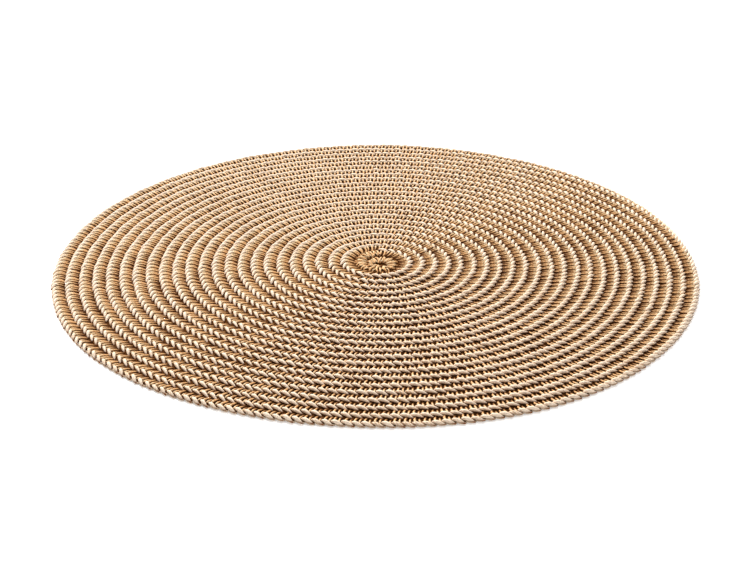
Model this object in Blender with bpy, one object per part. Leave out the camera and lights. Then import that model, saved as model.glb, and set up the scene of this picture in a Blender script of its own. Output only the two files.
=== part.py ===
"""Round crocheted placemat, worked as one continuous spiral and lying flat.

Run it with  blender --background --python part.py  or from Blender's text editor.
Metres, +Z up. The origin is the centre of the mat's outline on the surface that it lies on.
The far side of the mat is +Y. The mat is one solid: a flat underside, and a top face whose
points are raised into the spiral rib that the rounds of stitches make.
"""
import bmesh
import bpy
from math import cos, pi, radians, sin
from mathutils import Vector

MM = 0.001

# The spiral. Seen from above it grows clockwise, and its last round ends at END_ANGLE.
PITCH = 7.6 * MM                    # from one round of stitches to the next
ROUNDS = 24                         # full turns of the rib
FIRST_CREST = 9.1 * MM              # radius of the rib where its first round starts
END_ANGLE = radians(41)             # where the yarn was fastened off, from +X towards +Y
CENTRE = Vector((1.9, -1.9, 0)) * MM    # centre of the spiral, off the middle of the outline
COLUMNS = 60                        # sections in one turn, 6 degrees apart

# One rib, from the foot that it leans on to its crest, as shares of the pitch and heights.
# The steep side faces outwards, down to the foot of the next round.
RIB = (
    # place (share of a pitch outside the last crest), height
    {"name": "foot", "place": 0.25, "height": 1.4 * MM},
    {"name": "slope", "place": 0.62, "height": 2.1 * MM},
    {"name": "crest", "place": 1.00, "height": 3.0 * MM},
)
EDGE_DRAW_IN = 0.10 * PITCH         # how far the underside lies inside the widest line

# The centre is a flat ring of first stitches, so the rib rises out of it over one turn.
START_HEIGHT = 2.0 * MM

# The last stitches get shorter: the round narrows to this share of its width.
TAPER_ANGLE = radians(50)
TAPER_WIDTH = 0.50
TAPER_CURVE = 1.5

# The outline isn't a true circle: slow waves in its radius, full size at the rim.
RIM_RADIUS = 190 * MM
WAVES = (
    # waves in a turn, size, angle of one of its bulges
    {"count": 2, "size": 1.4 * MM, "bulge": radians(50)},
    {"count": 3, "size": 0.5 * MM, "bulge": radians(89)},
    {"count": 4, "size": 0.6 * MM, "bulge": radians(27)},
    {"count": 5, "size": 0.4 * MM, "bulge": radians(9)},
)

EDGE_ROW = ROUNDS * len(RIB)        # the widest line of the rim
HEM_ROW = EDGE_ROW + 1              # where the underside starts
YARN_COLOUR = (0.62, 0.44, 0.27, 1.0)
YARN_ROUGHNESS = 0.6


def clear_scene():
    for old in list(bpy.data.objects):
        bpy.data.objects.remove(old, do_unlink=True)


def smooth(share):
    share = min(max(share, 0.0), 1.0)
    return share * share * (3.0 - 2.0 * share)


def taper(turn):
    """Width of the round being worked, at a turn from 0 to 2 pi after END_ANGLE."""
    share = max(turn - (2 * pi - TAPER_ANGLE), 0.0) / TAPER_ANGLE
    return 1.0 - (1.0 - TAPER_WIDTH) * share ** TAPER_CURVE


def plain_radius(row, turn):
    """Radius of a line of the rib on an even spiral."""
    round_number, line = divmod(row, len(RIB))
    crest_before = FIRST_CREST + PITCH * (round_number - 1 + turn / (2 * pi))
    return crest_before + PITCH * RIB[line]["place"]


def rib_point(row, column):
    """The point of the top face on one line of the rib, in one section of the turn."""
    turn = 2 * pi * column / COLUMNS
    angle = END_ANGLE - turn
    line_row = min(row, EDGE_ROW)
    radius = plain_radius(line_row, turn)
    last_foot_row = EDGE_ROW - len(RIB)
    if line_row > last_foot_row:
        last_foot = plain_radius(last_foot_row, turn)
        radius = last_foot + (radius - last_foot) * taper(turn)
    wave = sum(w["size"] * cos(w["count"] * (angle - w["bulge"])) for w in WAVES)
    radius += wave * radius / RIM_RADIUS
    height = RIB[line_row % len(RIB)]["height"]
    rise = smooth(line_row // len(RIB) + column / COLUMNS)
    height = START_HEIGHT + (height - START_HEIGHT) * rise
    if row == HEM_ROW:
        radius -= EDGE_DRAW_IN
        height = 0.0
    return CENTRE + Vector((radius * cos(angle), radius * sin(angle), height))


def make_mat_mesh():
    """A grid of one turn by all lines of the rib, wound up so that each turn joins the next."""
    bm = bmesh.new()
    bmesh.ops.create_grid(bm, x_segments=COLUMNS, y_segments=HEM_ROW, size=0.5)
    grid = {}
    for vert in bm.verts:
        column = round((vert.co.x + 0.5) * COLUMNS)
        row = round((vert.co.y + 0.5) * HEM_ROW)
        vert.co = rib_point(row, column)
        grid[row, column] = vert

    # A line's last point is the first point of the same line one round further out.
    joins = {}
    for row in range(EDGE_ROW - len(RIB) + 1):
        next_round = grid[row + len(RIB), 0]
        joins[grid[row, COLUMNS]] = next_round
        grid[row, COLUMNS] = next_round
    bmesh.ops.weld_verts(bm, targetmap=joins)

    start = [grid[0, column] for column in range(COLUMNS + 1)] + [grid[2, 0], grid[1, 0]]
    centre = bm.faces.new(start)
    bmesh.ops.poke(bm, faces=[centre], center_mode="MEAN")
    bm.faces.new([grid[HEM_ROW, column] for column in range(COLUMNS + 1)])
    end_lines = range(EDGE_ROW - len(RIB) + 1, HEM_ROW + 1)
    bm.faces.new([grid[EDGE_ROW, 0]] + [grid[row, COLUMNS] for row in end_lines] + [grid[HEM_ROW, 0]])
    bmesh.ops.recalc_face_normals(bm, faces=bm.faces)

    mesh = bpy.data.meshes.new("mat")
    bm.to_mesh(mesh)
    bm.free()
    return mesh


def make_yarn():
    material = bpy.data.materials.new("crochet_yarn")
    material.use_nodes = True
    shader = material.node_tree.nodes["Principled BSDF"]
    shader.inputs["Base Color"].default_value = YARN_COLOUR
    shader.inputs["Roughness"].default_value = YARN_ROUGHNESS
    shader.inputs["Metallic"].default_value = 0.0
    return material


def main():
    clear_scene()
    collection = bpy.data.collections.new("crocheted_placemat")
    bpy.context.scene.collection.children.link(collection)
    mat = bpy.data.objects.new("mat", make_mat_mesh())
    collection.objects.link(mat)
    mat.data.materials.append(make_yarn())
    mat.data.shade_smooth()
    mat.data.set_sharp_from_angle(angle=radians(50))


main()
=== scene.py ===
"""Looks of a round crocheted placemat: stitches of a cream and golden tan cord, one spiral.

Metres, +Z up, the frame's own coordinates. Lengths are written in millimetres times MM.
A stitch has its own axes: x along the round, clockwise seen from above, y outwards, z up.
"""
from math import cos, pi, radians, sin, sqrt

import bmesh
import bpy
from mathutils import Matrix, Vector, noise


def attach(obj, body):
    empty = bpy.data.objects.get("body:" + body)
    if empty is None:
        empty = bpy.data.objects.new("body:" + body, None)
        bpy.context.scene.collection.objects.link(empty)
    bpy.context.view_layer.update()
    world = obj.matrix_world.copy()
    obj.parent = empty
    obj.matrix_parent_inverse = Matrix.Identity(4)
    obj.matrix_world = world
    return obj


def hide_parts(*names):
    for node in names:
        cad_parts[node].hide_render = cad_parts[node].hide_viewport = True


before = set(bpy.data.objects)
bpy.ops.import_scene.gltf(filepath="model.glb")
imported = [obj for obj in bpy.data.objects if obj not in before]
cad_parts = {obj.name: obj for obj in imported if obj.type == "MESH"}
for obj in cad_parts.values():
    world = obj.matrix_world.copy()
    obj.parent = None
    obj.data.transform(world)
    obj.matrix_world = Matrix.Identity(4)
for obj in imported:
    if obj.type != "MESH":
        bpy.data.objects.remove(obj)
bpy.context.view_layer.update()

MM = 0.001
SEED = 11

# The spiral, with the solid's own sizes. Only its last stitches run on further than the solid.
PITCH = 7.6 * MM                        # from one round of stitches to the next
ROUNDS = 24                             # full turns of the rib
LAST_TURN = ROUNDS + 0.10               # the last stitches run on until they meet the edge
FIRST_CREST = 9.1 * MM                  # radius of the rib after the start ring
START_TURNS = -0.62                     # the first stitch, in the start ring
RIB_START = 0.9                         # from here on the rounds carry the cream rib
END_ANGLE = radians(41)                 # where the solid's last round ends
CENTRE = Vector((1.9, -1.9, 0)) * MM    # centre of the spiral, off the middle of the outline
FOOT = 0.25                             # share of a pitch from a crest out to its foot

# The last stitches get shorter
TAPER_TURNS = 50 / 360                  # share of a turn over which they do
TAPER_WIDTH = 0.33                      # share of a round's width left where the last one ends
TAPER_CURVE = 1.5
RUN_ON_RATE = 1.2                       # how fast the run-on stitches sink into the round before
NARROWEST = 0.6                         # share of its depth that the last stitch keeps

# Slow waves of the outline, full size at the rim
RIM_RADIUS = 190 * MM
WAVES = (
    # waves in a turn, size, angle of one of its bulges
    {"count": 2, "size": 1.4 * MM, "bulge": radians(50)},
    {"count": 3, "size": 0.5 * MM, "bulge": radians(89)},
    {"count": 4, "size": 0.6 * MM, "bulge": radians(27)},
    {"count": 5, "size": 0.4 * MM, "bulge": radians(9)},
)

# The stitches along it
STITCH = 4.95 * MM                      # from one stitch to the next along the round
LEG_REACH = 6.4 * MM                    # from the rib inwards to the end of the legs
WANDER = 0.3 * MM                       # how far a stitch strays off the crest line
WANDER_RATE = 0.13                      # how fast that changes from stitch to stitch
WANDER_LAYER = 0.5                      # between two layers of the noise, where it isn't zero

# The start ring leaves a slit open in its middle
SLIT_LENGTH = 6.0 * MM
SLIT_WIDTH = 0.3 * MM
SLIT_ANGLE = radians(-23)
SLIT_SHIFT = Vector((-0.5, -2.9, 0)) * MM   # off the centre of the spiral


def smooth(share):
    share = min(max(share, 0.0), 1.0)
    return share * share * (3.0 - 2.0 * share)


def taper(turns):
    """Width of the round being worked, as a share of the full width."""
    share = max(turns - (ROUNDS - TAPER_TURNS), 0.0) / TAPER_TURNS
    narrowed = min(share, 1.0) ** TAPER_CURVE + RUN_ON_RATE * max(share - 1.0, 0.0)
    return 1.0 - (1.0 - TAPER_WIDTH) * narrowed


def spiral_point(turns, outwards=0.0, height=0.0):
    """A place beside the rib's crest line: turns counts full rounds from the first one."""
    angle = END_ANGLE - 2 * pi * turns
    crest = FIRST_CREST + PITCH * turns - (1 - FOOT) * PITCH * (1 - taper(turns))
    radius = crest + outwards
    wave = sum(w["size"] * cos(w["count"] * (angle - w["bulge"])) for w in WAVES)
    radius += wave * radius / RIM_RADIUS
    centre = CENTRE + SLIT_SHIFT * (1 - smooth((turns - START_TURNS) / (RIB_START - START_TURNS)))
    return centre + Vector((radius * cos(angle), radius * sin(angle), height))


def turns_at(length):
    """Turns of the spiral at a length of the work after its first full round starts."""
    return (sqrt(max(FIRST_CREST ** 2 + PITCH * length / pi, 0.0)) - FIRST_CREST) / PITCH


def length_at(turns):
    return 2 * pi * (FIRST_CREST * turns + PITCH * turns ** 2 / 2)


def slit_reach(angle):
    """How far the slit of the start ring reaches from its middle, in one direction."""
    across = angle - SLIT_ANGLE
    return (abs(SLIT_LENGTH * cos(across)) + abs(SLIT_WIDTH * sin(across))) / 2


# Nodes and colours

def add(tree, kind, inputs=None, **settings):
    """Adds a node. An input given as a node takes its first output, a socket is linked."""
    node = tree.nodes.new(kind)
    for name, value in settings.items():
        setattr(node, name, value)
    for name, value in (inputs or {}).items():
        if isinstance(value, bpy.types.Node):
            value = next(s for s in value.outputs if s.enabled)
        if isinstance(value, bpy.types.NodeSocket):
            tree.links.new(value, node.inputs[name])
        else:
            node.inputs[name].default_value = value
    return node


def linear(hex_colour):
    """sRGB hex to the linear colour that a shader takes, with full alpha."""
    values = [int(hex_colour[i:i + 2], 16) / 255 for i in (0, 2, 4)]
    return [v / 12.92 if v <= 0.04045 else ((v + 0.055) / 1.055) ** 2.4 for v in values] + [1.0]


def new_material(name):
    """A material, its node tree and its shader."""
    material = bpy.data.materials.new(name)
    material.use_nodes = True
    tree = material.node_tree
    return material, tree, tree.nodes["Principled BSDF"]


# Materials

PLIES = 3                               # plies that show across a strand
PLY_RISE = 4                            # how often one ply crosses a loop's length
PLY_DEPTH = 0.12 * MM                   # how deep the lines between the plies look
PLY_SHARE = 0.45                        # how much the painted highlight and shade of the plies change the yarn's colour
TINT_SHARE = 0.35                       # how much a stitch's own tint changes it
YARN_SHADES = (0.35, 0.80)              # the shades that take the dark and the light colour
TIP_FADE = 0.35                         # share of a strand over which the tip's colour comes in
DEEP = 1.2 * MM                         # height below which the yarn is in the shade
FIBRE = 1.2 * MM                        # size of the tufts of the shaded yarn
FIBRE_DEPTH = 0.3 * MM
FIBRE_SHADES = (0.3, 0.7)               # those that take its dark and its light colour


def cord_material(name, light, dark, deep, tip, raised_at, tip_at, mottle_size, roughness):
    """Twisted cotton cord with a satin ply: painted highlights on the plies, painted shade where
    they meet.

    The yarn takes the deep colour, a painted shade, low down in the crochet, where little light
    reaches it, and shows its full colour from the height raised_at. From the share tip_at of its
    length a strand turns to the colour tip, which paints the light and shade that fall on its end.
    a strand turns to the colour tip.
    """
    material, tree, shader = new_material(name)

    # The plies wind round the strand
    uv = add(tree, "ShaderNodeUVMap", uv_map="UVMap")
    parts = add(tree, "ShaderNodeSeparateXYZ", {0: uv})
    along = add(tree, "ShaderNodeMath", {0: parts.outputs["X"], 1: PLY_RISE}, operation="MULTIPLY")
    around = add(tree, "ShaderNodeMath", {0: parts.outputs["Y"], 1: PLIES}, operation="MULTIPLY")
    both = add(tree, "ShaderNodeMath", {0: along, 1: around}, operation="ADD")
    turn = add(tree, "ShaderNodeMath", {0: both, 1: 2 * pi}, operation="MULTIPLY")
    ply = add(tree, "ShaderNodeMath", {0: turn}, operation="COSINE")
    ply_share = add(tree, "ShaderNodeMapRange", {"Value": ply, "From Min": -1.0, "From Max": 1.0})

    # The colour changes with the ply's painted highlight and shade, from stitch to stitch, and in
    # soft patches
    place = add(tree, "ShaderNodeTexCoord")
    mottle = add(tree, "ShaderNodeTexNoise", {
        "Vector": place.outputs["Object"], "Scale": 1 / mottle_size, "Detail": 2.0})
    tint = add(tree, "ShaderNodeAttribute", attribute_name="tint")
    mixed = add(tree, "ShaderNodeMath", {
        0: tint.outputs["Fac"], 1: TINT_SHARE, 2: mottle}, operation="MULTIPLY_ADD")
    shade = add(tree, "ShaderNodeMath", {
        0: ply_share, 1: PLY_SHARE, 2: mixed}, operation="MULTIPLY_ADD")
    ramp = add(tree, "ShaderNodeValToRGB", {"Fac": shade})
    for stop, position, colour in zip(ramp.color_ramp.elements, YARN_SHADES, (dark, light)):
        stop.position = position
        stop.color = linear(colour)

    # The painted light and shade at the tip of the strand, and the painted shade deep in the crochet
    tipped = add(tree, "ShaderNodeMapRange", {
        "Value": parts.outputs["X"], "From Min": tip_at, "From Max": tip_at + TIP_FADE},
        interpolation_type="SMOOTHSTEP")
    cord = add(tree, "ShaderNodeMix", {
        "Factor": tipped, "A": ramp, "B": linear(tip)}, data_type="RGBA")
    heights = add(tree, "ShaderNodeSeparateXYZ", {0: place.outputs["Object"]})
    raised = add(tree, "ShaderNodeMapRange", {
        "Value": heights.outputs["Z"], "From Min": DEEP, "From Max": raised_at},
        interpolation_type="SMOOTHSTEP")
    colour = add(tree, "ShaderNodeMix", {
        "Factor": raised, "A": linear(deep), "B": cord}, data_type="RGBA")
    bump = add(tree, "ShaderNodeBump", {
        "Height": ply_share, "Strength": 0.6, "Distance": PLY_DEPTH})

    tree.links.new(colour.outputs["Result"], shader.inputs["Base Color"])
    tree.links.new(bump.outputs["Normal"], shader.inputs["Normal"])
    shader.inputs["Roughness"].default_value = roughness
    shader.inputs["Specular IOR Level"].default_value = 0.08
    shader.inputs["Sheen Weight"].default_value = 0.04
    shader.inputs["Sheen Roughness"].default_value = 0.4
    shader.inputs["Sheen Tint"].default_value = linear(light)
    return material


def ground_material():
    """The inside of the crochet: yarn that lies in shadow between the stitches."""
    material, tree, shader = new_material("shaded_crochet_ground")
    place = add(tree, "ShaderNodeTexCoord")
    fibres = add(tree, "ShaderNodeTexNoise", {
        "Vector": place.outputs["Object"], "Scale": 1 / FIBRE, "Detail": 3.0})
    ramp = add(tree, "ShaderNodeValToRGB", {"Fac": fibres})
    for stop, position, colour in zip(ramp.color_ramp.elements, FIBRE_SHADES, ("301808", "643e1e")):
        stop.position = position
        stop.color = linear(colour)
    bump = add(tree, "ShaderNodeBump", {
        "Height": fibres, "Strength": 0.7, "Distance": FIBRE_DEPTH})
    tree.links.new(ramp.outputs["Color"], shader.inputs["Base Color"])
    tree.links.new(bump.outputs["Normal"], shader.inputs["Normal"])
    shader.inputs["Roughness"].default_value = 0.75
    shader.inputs["Specular IOR Level"].default_value = 0.0
    return material


# Cream cotton on the rib, with painted highlights on its plies, painted shade where they meet
# and painted shade where each loop's head dives in. Golden tan for the legs: partly the yarn's
# own colour, partly painted shade and light bounced in the valleys between the ribs; painted
# paler towards the rib, where the legs rise into the light. The rim's loops take a greyer copy
# of the cream with little painted shade, for the light that comes in on the rim from the side.
CREAM = cord_material(
    "cream_cotton_cord", light="f8e4ce", dark="dfb992", deep="7c4820", tip="e0ba92",
    raised_at=2.3 * MM, tip_at=0.85, mottle_size=8 * MM, roughness=0.5)
GOLDEN = cord_material(
    "golden_tan_cord", light="e2b07a", dark="8c5826", deep="744620", tip="f2d6ac",
    raised_at=1.9 * MM, tip_at=0.52, mottle_size=3.5 * MM, roughness=0.55)
RIM = cord_material(
    "cream_rim_cord", light="ecdccb", dark="c9b49e", deep="c4ac92", tip="ecdccb",
    raised_at=2.0 * MM, tip_at=0.80, mottle_size=8 * MM, roughness=0.5)
SHADED = ground_material()


# The strands of one stitch, as lines in millimetres on the stitch's own axes

LOOP_SIDES = 7
LOOP_LINE = (
    # the loop on the rib: a thin tail comes up the outer side, the head lies along the
    # crest, turns inwards and dives in
    {"x": -3.5, "y": 1.75, "z": 1.10, "radius": 0.34},
    {"x": -2.9, "y": 1.62, "z": 1.32, "radius": 0.48},
    {"x": -2.1, "y": 1.32, "z": 1.62, "radius": 0.66},
    {"x": -1.2, "y": 0.90, "z": 1.90, "radius": 0.82},
    {"x": -0.3, "y": 0.46, "z": 2.08, "radius": 0.94},
    {"x": 0.6, "y": 0.00, "z": 2.12, "radius": 1.00},
    {"x": 1.5, "y": -0.45, "z": 2.00, "radius": 0.96},
    {"x": 2.2, "y": -0.90, "z": 1.74, "radius": 0.82},
    {"x": 2.8, "y": -1.35, "z": 1.40, "radius": 0.50},
)
RIM_LINE = (
    # the second loop of the last round, below the first and beside it down the outer side
    {"x": -4.2, "y": 0.85, "z": 0.66, "radius": 0.42},
    {"x": -3.2, "y": 1.15, "z": 0.72, "radius": 0.52},
    {"x": -2.2, "y": 1.28, "z": 0.80, "radius": 0.58},
    {"x": -1.2, "y": 1.20, "z": 0.94, "radius": 0.58},
    {"x": -0.2, "y": 1.00, "z": 1.12, "radius": 0.52},
    {"x": 0.8, "y": 0.70, "z": 1.35, "radius": 0.42},
)
START_SPREAD = 1.0                      # half the distance between a start stitch's strands
START_DROP = 0.3                        # how much lower the first strand lies
START_LINE = (
    # a tight stitch of the first round: a strand from its outer edge inwards to the slit
    {"x": -0.9, "y": 1.10, "z": 1.10, "radius": 0.40},
    {"x": -0.6, "y": 0.70, "z": 1.65, "radius": 0.50},
    {"x": -0.1, "y": -0.60, "z": 1.95, "radius": 0.54},
    {"x": 0.3, "y": -2.20, "z": 1.95, "radius": 0.54},
    {"x": 0.6, "y": -3.80, "z": 1.80, "radius": 0.52},
    {"x": 0.8, "y": -5.40, "z": 1.50, "radius": 0.42},
)
LEG_SIDES = 5
LEG_SPREAD = 1.20                       # half the distance between a stitch's two legs
LEG_DROP = 0.28                         # how much lower the first leg lies
LEG_LINE = (
    # one leg: up from the last round to the rib, leaning the way that the work goes
    {"x": -1.1, "y": -6.4, "z": 0.92, "radius": 0.52},
    {"x": -0.6, "y": -5.3, "z": 1.10, "radius": 0.60},
    {"x": -0.2, "y": -4.2, "z": 1.36, "radius": 0.64},
    {"x": 0.0, "y": -2.9, "z": 1.72, "radius": 0.62},
    {"x": 0.0, "y": -1.7, "z": 2.00, "radius": 0.58},
    {"x": 0.0, "y": -0.5, "z": 2.00, "radius": 0.48},
)
LOWEST = 0.65                           # height that a lowered strand keeps
THINNER = 0.9                           # share of its radius that it keeps

# The bar that a stitch leaves on the wrong side, lying on the table
BAR_RINGS = 4
BAR_SIDES = 5
BAR_RADIUS = 0.40 * MM
BAR_LENGTH = 1.05 * STITCH
BAR_PLACE = 0.35 * PITCH                # from the rib inwards to the middle of the bar
BAR_SLANT = 0.25 * PITCH                # how much nearer the centre it ends than it starts
BAR_HEIGHT = BAR_RADIUS + 0.05 * MM
BAR_RISE = 0.1 * MM                     # its ends curve up, and get thinner
BAR_THINNING = 0.8


def smooth_mesh(name, bm):
    """Ends a mesh, with its faces pointing outwards and shaded smooth."""
    bmesh.ops.recalc_face_normals(bm, faces=bm.faces)
    for face in bm.faces:
        face.smooth = True
    mesh = bpy.data.meshes.new(name)
    bm.to_mesh(mesh)
    bm.free()
    return mesh


def strand(name, path, radii, sides):
    """A closed strand along path, a radius at each point, with a UV map along and around it."""
    bm = bmesh.new()
    uv_layer = bm.loops.layers.uv.new("UVMap")
    end = len(path) - 1
    rings = []
    for i, (point, radius) in enumerate(zip(path, radii)):
        ahead = (path[min(i + 1, end)] - path[max(i - 1, 0)]).normalized()
        side = ahead.cross(Vector((0, 0, 1))).normalized()
        up = side.cross(ahead)
        ring = []
        for k in range(sides):
            angle = 2 * pi * k / sides
            ring.append(bm.verts.new(point + radius * (cos(angle) * side + sin(angle) * up)))
        rings.append(ring)
    for i in range(end):
        for k in range(sides):
            corners = ((i, k), (i, k + 1), (i + 1, k + 1), (i + 1, k))
            face = bm.faces.new([rings[row][place % sides] for row, place in corners])
            for loop, (row, place) in zip(face.loops, corners):
                loop[uv_layer].uv = (row / end, place / sides)
    bm.faces.new(rings[0])
    bm.faces.new(rings[end])
    return smooth_mesh(name, bm)


def line_mesh(name, line, sides):
    path = [Vector((p["x"], p["y"], p["z"])) * MM for p in line]
    return strand(name, path, [p["radius"] * MM for p in line], sides)


def pair_mesh(name, line, sides, spread, drop):
    """Two strands of a stitch, side by side. The first one is thinner and lies lower."""
    low, high = [], []
    for p in line:
        height = max(p["z"] - drop, LOWEST)
        low.append({"x": p["x"] - spread, "y": p["y"], "z": height, "radius": THINNER * p["radius"]})
        high.append({"x": p["x"] + spread, "y": p["y"], "z": p["z"], "radius": p["radius"]})
    bm = bmesh.new()
    for side in (low, high):
        bm.from_mesh(line_mesh(name + "_side", side, sides))
    pair = bpy.data.meshes.new(name)
    bm.to_mesh(pair)
    bm.free()
    return pair


def bar_mesh(name):
    """A thin bar that reaches from one stitch to the next, slanting inwards."""
    path, radii = [], []
    for i in range(BAR_RINGS):
        share = i / (BAR_RINGS - 1) - 0.5
        path.append(Vector((
            BAR_LENGTH * share,
            -BAR_PLACE - BAR_SLANT * share,
            BAR_HEIGHT + BAR_RISE * share ** 2)))
        radii.append(BAR_RADIUS * (1 - BAR_THINNING * share ** 2))
    return strand(name, path, radii, BAR_SIDES)


# Geometry Nodes that work one kind of stitch piece along the spiral

def stitch_tree():
    tree = bpy.data.node_groups.new("work_along_rounds", "GeometryNodeTree")
    for name, kind in (
            ("Stitch Places", "NodeSocketGeometry"),
            ("Stitch", "NodeSocketObject"),
            ("Lean", "NodeSocketFloat"),
            ("Size Change", "NodeSocketFloat"),
            ("Seed", "NodeSocketInt"),
            ("Yarn", "NodeSocketMaterial")):
        tree.interface.new_socket(name, in_out="INPUT", socket_type=kind)
    tree.interface.new_socket("Mesh", in_out="OUTPUT", socket_type="NodeSocketGeometry")
    given = add(tree, "NodeGroupInput")
    lean, change, seed = (given.outputs[name] for name in ("Lean", "Size Change", "Seed"))

    # Each stitch faces along its round, with a small lean of its own
    facing = add(tree, "GeometryNodeInputNamedAttribute", {"Name": "facing"}, data_type="FLOAT")
    turned = add(tree, "ShaderNodeCombineXYZ", {"Z": facing})
    less = add(tree, "ShaderNodeMath", {0: lean, 1: -1.0}, operation="MULTIPLY")
    low = add(tree, "ShaderNodeCombineXYZ", {"Y": less, "Z": less})
    high = add(tree, "ShaderNodeCombineXYZ", {"Y": lean, "Z": lean})
    leaning = add(tree, "FunctionNodeRandomValue", {
        0: low, 1: high, "Seed": seed}, data_type="FLOAT_VECTOR")
    angles = add(tree, "ShaderNodeVectorMath", {0: turned, 1: leaning}, operation="ADD")
    rotation = add(tree, "FunctionNodeEulerToRotation", {0: angles})

    # Its size changes a little, and its depth follows the width of the round
    width = add(tree, "GeometryNodeInputNamedAttribute", {"Name": "width"}, data_type="FLOAT")
    small = add(tree, "ShaderNodeMath", {0: 1.0, 1: change}, operation="SUBTRACT")
    large = add(tree, "ShaderNodeMath", {0: 1.0, 1: change}, operation="ADD")
    size = add(tree, "FunctionNodeRandomValue", {
        2: small, 3: large, "Seed": seed}, data_type="FLOAT")
    depth = add(tree, "ShaderNodeMath", {0: size, 1: width}, operation="MULTIPLY")
    scale = add(tree, "ShaderNodeCombineXYZ", {"X": 1.0, "Y": depth, "Z": size})

    piece = add(tree, "GeometryNodeObjectInfo", {
        "Object": given.outputs["Stitch"], "As Instance": True})
    placed = add(tree, "GeometryNodeInstanceOnPoints", {
        "Points": given.outputs["Stitch Places"], "Instance": piece.outputs["Geometry"],
        "Rotation": rotation, "Scale": scale})

    # One tint for each stitch
    shade = add(tree, "FunctionNodeRandomValue", {
        2: 0.0, 3: 1.0, "Seed": SEED}, data_type="FLOAT")
    tinted = add(tree, "GeometryNodeStoreNamedAttribute", {
        "Geometry": placed, "Name": "tint", "Value": shade}, data_type="FLOAT", domain="INSTANCE")
    real = add(tree, "GeometryNodeRealizeInstances", {"Geometry": tinted})
    dressed = add(tree, "GeometryNodeSetMaterial", {
        "Geometry": real, "Material": given.outputs["Yarn"]})
    add(tree, "NodeGroupOutput", {"Mesh": dressed})
    return tree


TREE = stitch_tree()


def link(name, data):
    obj = bpy.data.objects.new(name, data)
    bpy.context.scene.collection.objects.link(obj)
    return obj


def stitch_places(first_turn, last_turn):
    """One point for each stitch from one turn of the spiral to another."""
    first = round(length_at(first_turn) / STITCH)
    last = round(length_at(last_turn) / STITCH)
    points, facing, width = [], [], []
    for stitch in range(first, last):
        turns = turns_at(stitch * STITCH)
        angle = END_ANGLE - 2 * pi * turns
        stray = WANDER * noise.noise(Vector((stitch * WANDER_RATE, turns, WANDER_LAYER)))
        points.append(spiral_point(turns, stray))
        facing.append(angle - pi / 2)
        room = FIRST_CREST + PITCH * turns - slit_reach(angle)
        width.append(min(max(taper(turns), NARROWEST), room / LEG_REACH))
    mesh = bpy.data.meshes.new("stitch_places")
    mesh.from_pydata(points, [], [])
    for name, values in (("facing", facing), ("width", width)):
        mesh.attributes.new(name, "FLOAT", "POINT").data.foreach_set("value", values)
    return mesh


def work(name, stitch_mesh, yarn, places, lean, size_change):
    """Repeats a stitch piece along the spiral and returns it as one plain mesh object."""
    stitch = link(name + "_stitch", stitch_mesh)
    guide = link(name + "_guide", places)
    modifier = guide.modifiers.new("work_along_rounds", "NODES")
    modifier.node_group = TREE
    values = {
        "Stitch": stitch,
        "Lean": lean,
        "Size Change": size_change,
        "Seed": SEED,
        "Yarn": yarn,
    }
    for item in TREE.interface.items_tree:
        if item.name in values:
            modifier[item.identifier] = values[item.name]
    bpy.context.view_layer.update()
    evaluated = guide.evaluated_get(bpy.context.evaluated_depsgraph_get())
    mesh = bpy.data.meshes.new_from_object(evaluated)
    guide.modifiers.remove(modifier)
    bpy.data.objects.remove(guide)
    bpy.data.objects.remove(stitch)
    mesh.name = name
    return link(name, mesh)


# The ground cloth under the stitches

GROUND_COLUMNS = 120
GROUND_LINES = (
    # place (share of a pitch outside the last crest), height
    {"place": 0.26, "height": 0.65 * MM},
    {"place": 0.66, "height": 0.65 * MM},
    {"place": 0.88, "height": 1.30 * MM},
    {"place": 1.06, "height": 1.30 * MM},
)
LINES = len(GROUND_LINES)
EDGE_ROW = ROUNDS * LINES               # the widest line
EDGE_OUTWARDS = 0.10 * PITCH            # from the last crest out to it
EDGE_HEIGHT = 1.1 * MM
HEM_ROW = EDGE_ROW + 1                  # where the underside starts
HEM_DRAW_IN = 0.08 * PITCH
UNDERSIDE = 0.4 * MM                    # the underside lies on the bars of the wrong side


def ground_point(row, column):
    """A point of the ground, on one line of the spiral in one section of a turn."""
    round_number, line = divmod(min(row, EDGE_ROW), LINES)
    turns = round_number + column / GROUND_COLUMNS
    outwards = (GROUND_LINES[line]["place"] - 1) * PITCH
    height = GROUND_LINES[line]["height"]
    if row >= EDGE_ROW:
        # the widest line follows the last round that was worked
        turns -= 1
        outwards = EDGE_OUTWARDS
        if turns + 1 < LAST_TURN:
            outwards += (spiral_point(turns + 1) - spiral_point(turns)).length
        height = EDGE_HEIGHT
    elif round_number == ROUNDS - 1:
        outwards *= taper(turns)
    if row == HEM_ROW:
        outwards -= HEM_DRAW_IN
        height = UNDERSIDE
    return spiral_point(turns, outwards, height)


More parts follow.
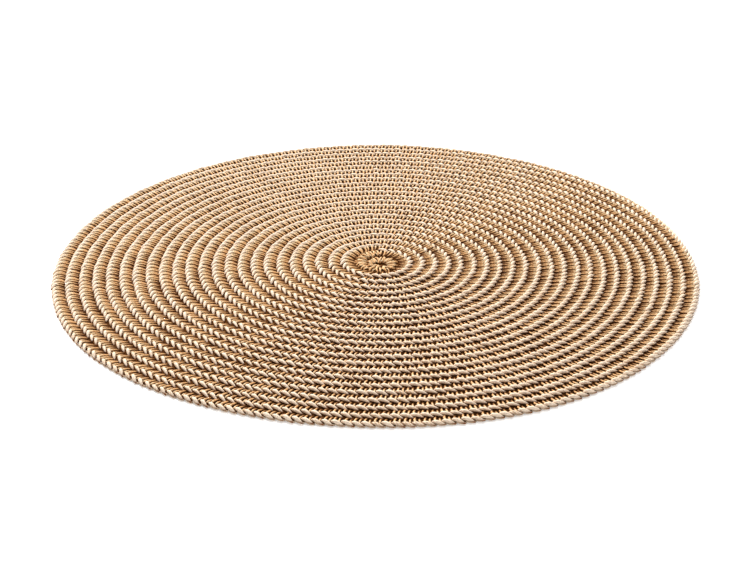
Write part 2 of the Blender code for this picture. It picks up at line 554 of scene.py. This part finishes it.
def ground_mesh():
    """A grid of one turn by all lines of the rounds, wound up so that each turn joins the next."""
    bm = bmesh.new()
    bmesh.ops.create_grid(bm, x_segments=GROUND_COLUMNS, y_segments=HEM_ROW, size=0.5)
    grid = {}
    for vert in bm.verts:
        column = round((vert.co.x + 0.5) * GROUND_COLUMNS)
        row = round((vert.co.y + 0.5) * HEM_ROW)
        vert.co = ground_point(row, column)
        grid[row, column] = vert

    # A line's last point is the first point of the same line one round further out
    joins = {}
    for row in range(EDGE_ROW - LINES):
        next_round = grid[row + LINES, 0]
        joins[grid[row, GROUND_COLUMNS]] = next_round
        grid[row, GROUND_COLUMNS] = next_round
    bmesh.ops.weld_verts(bm, targetmap=joins)

    # The middle, the underside, and the step where the last round ends
    start = [grid[0, column] for column in range(GROUND_COLUMNS + 1)]
    start += [grid[row, 0] for row in range(LINES - 1, 0, -1)]
    bm.faces.new(start)
    bm.faces.new([grid[HEM_ROW, column] for column in range(GROUND_COLUMNS + 1)])
    step = [grid[row, GROUND_COLUMNS] for row in range(EDGE_ROW - LINES, HEM_ROW + 1)]
    bm.faces.new([grid[HEM_ROW, 0], grid[EDGE_ROW, 0]] + step)
    mesh = smooth_mesh("mat_ground", bm)
    mesh.set_sharp_from_angle(angle=radians(50))
    mesh.materials.append(SHADED)
    return mesh


# All pieces. The rib and the legs are shared out, so that no piece has too many triangles.

RIB_LOOP = line_mesh("rib_loop", LOOP_LINE, LOOP_SIDES)
LEGS = pair_mesh("stitch_legs", LEG_LINE, LEG_SIDES, LEG_SPREAD, LEG_DROP)
START_STITCH = pair_mesh("start_stitch", START_LINE, LOOP_SIDES, START_SPREAD, START_DROP)
RIM_LOOP = line_mesh("rim_loop", RIM_LINE, LOOP_SIDES)
BAR = bar_mesh("bar")
WORK = (
    # turns where the stitches start and end, lean in radians, change of size as a share
    {"name": "rib_inner", "stitch": RIB_LOOP, "yarn": CREAM,
     "turns": (RIB_START, 14), "lean": 0.10, "size_change": 0.08},
    {"name": "rib_middle", "stitch": RIB_LOOP, "yarn": CREAM,
     "turns": (14, 19.7), "lean": 0.10, "size_change": 0.08},
    {"name": "rib_outer", "stitch": RIB_LOOP, "yarn": CREAM,
     "turns": (19.7, LAST_TURN), "lean": 0.10, "size_change": 0.08},
    {"name": "legs_inner", "stitch": LEGS, "yarn": GOLDEN,
     "turns": (START_TURNS, 17), "lean": 0.08, "size_change": 0.08},
    {"name": "legs_outer", "stitch": LEGS, "yarn": GOLDEN,
     "turns": (17, LAST_TURN), "lean": 0.08, "size_change": 0.08},
    {"name": "start_ring", "stitch": START_STITCH, "yarn": GOLDEN,
     "turns": (START_TURNS, RIB_START), "lean": 0.35, "size_change": 0.12},
    {"name": "rim_loops", "stitch": RIM_LOOP, "yarn": RIM,
     "turns": (ROUNDS - 1, LAST_TURN), "lean": 0.05, "size_change": 0.05},
    {"name": "wrong_side_bars", "stitch": BAR, "yarn": GOLDEN,
     "turns": (0.2, ROUNDS), "lean": 0.02, "size_change": 0.05},
)

ground = link("mat_ground", ground_mesh())
worked = []
for part in WORK:
    worked.append(work(
        part["name"], part["stitch"], part["yarn"], stitch_places(*part["turns"]),
        part["lean"], part["size_change"]))

for piece in [ground] + worked:
    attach(piece, "root")
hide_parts("mat")


# Floor, light and camera

def floor_material():
    """White paper without a shine. It glows a little, so that it stays pale everywhere."""
    material, tree, shader = new_material("white_paper_floor")
    shader.inputs["Base Color"].default_value = linear("f7f6f4")
    shader.inputs["Roughness"].default_value = 0.9
    shader.inputs["Emission Color"].default_value = linear("ffffff")
    shader.inputs["Emission Strength"].default_value = 0.4
    return material


bpy.ops.mesh.primitive_plane_add(size=12)
floor = bpy.context.object
floor.name = "floor"
floor.data.materials.append(floor_material())


def area_light(name, location, size, power, colour):
    """A square light that points at the middle of the mat."""
    lamp = bpy.data.lights.new(name, "AREA")
    lamp.shape = "SQUARE"
    lamp.size = size
    lamp.energy = power
    lamp.color = linear(colour)[:3]
    obj = link(name, lamp)
    obj.location = location
    obj.rotation_euler = (-Vector(location)).to_track_quat("-Z", "Y").to_euler()


area_light("window_behind", location=(-1.15, 2.68, 2.10), size=0.8, power=190, colour="fffaf2")
area_light("softbox_above", location=(-0.1, 0.3, 1.6), size=1.2, power=17, colour="ffffff")
area_light("soft_front", location=(0.6, -1.6, 1.6), size=1.6, power=8, colour="ffffff")

world = bpy.data.worlds.new("studio")
bpy.context.scene.world = world
world.use_nodes = True
world.node_tree.nodes["Background"].inputs["Color"].default_value = linear("ffffff")
world.node_tree.nodes["Background"].inputs["Strength"].default_value = 0.15
bpy.context.scene.view_settings.view_transform = "Standard"

# The camera of the photograph, from the mat's outline and its rounds
CAMERA_PLACE = Vector((1.1, -853.9, 399.3)) * MM
LOOK_DOWN = radians(25.88)
LOOK_LEFT = radians(0.13)
ROLL = radians(0.44)
FOCAL_PIXELS = 1592
PHOTO_WIDTH = 750
SENSOR = 36

camera_data = bpy.data.cameras.new("camera")
camera_data.sensor_width = SENSOR
camera_data.lens = FOCAL_PIXELS / PHOTO_WIDTH * SENSOR
camera = link("camera", camera_data)
camera.matrix_world = (
    Matrix.Translation(CAMERA_PLACE) @ Matrix.Rotation(LOOK_LEFT, 4, "Z")
    @ Matrix.Rotation(pi / 2 - LOOK_DOWN, 4, "X") @ Matrix.Rotation(ROLL, 4, "Z"))
bpy.context.scene.camera = camera
